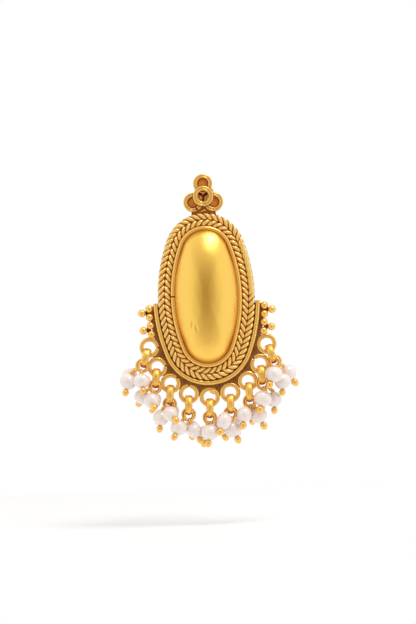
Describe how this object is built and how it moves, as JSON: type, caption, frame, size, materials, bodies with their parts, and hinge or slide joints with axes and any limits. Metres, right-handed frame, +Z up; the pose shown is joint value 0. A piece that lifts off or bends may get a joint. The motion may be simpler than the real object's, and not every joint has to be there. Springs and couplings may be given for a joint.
{
  "type": "pearl drop earring",
  "caption": "Drop earring with a high oval gold dome in a braided border, a crown of wire cups, and a fringe of pearl clusters hung on links from rings round the lower edge.",
  "frame": {"origin": "on the back of the face, at the ear post behind the crown", "axes": "+Z up as the earring hangs, +Y to the back where the post enters the ear, +X to the right as seen from the front"},
  "size_m": [0.0353, 0.017, 0.0545],
  "materials": {
    "gold": "antique gold plate, satin polished on high places and dark in the recesses",
    "pin_gold": "antique gold wire, darker than the face",
    "pearl": "freshwater pearl, white with a pinkish lustre"
  },
  "bodies": {
    "root": {"setting": "gold", "dome": "gold", "braid_inner": "gold", "braid_outer": "gold", "ear_post": "gold", "link_1": "gold", "link_2": "gold", "link_3": "gold", "link_4": "gold", "link_5": "gold", "link_6": "gold", "link_7": "gold", "link_8": "gold", "link_9": "gold", "pins_1": "pin_gold", "pins_2": "pin_gold", "pins_3": "pin_gold", "pins_4": "pin_gold", "pins_5": "pin_gold", "pins_6": "pin_gold", "pins_7": "pin_gold", "pins_8": "pin_gold", "pins_9": "pin_gold", "pearl_1a": "pearl", "pearl_1b": "pearl", "pearl_1c": "pearl", "pearl_2a": "pearl", "pearl_2b": "pearl", "pearl_2c": "pearl", "pearl_3a": "pearl", "pearl_3b": "pearl", "pearl_3c": "pearl", "pearl_4a": "pearl", "pearl_4b": "pearl", "pearl_4c": "pearl", "pearl_5a": "pearl", "pearl_5b": "pearl", "pearl_5c": "pearl", "pearl_6a": "pearl", "pearl_6b": "pearl", "pearl_6c": "pearl", "pearl_7a": "pearl", "pearl_7b": "pearl", "pearl_7c": "pearl", "pearl_8a": "pearl", "pearl_8b": "pearl", "pearl_8c": "pearl", "pearl_9a": "pearl", "pearl_9b": "pearl", "pearl_9c": "pearl"}
  },
  "joints": []
}
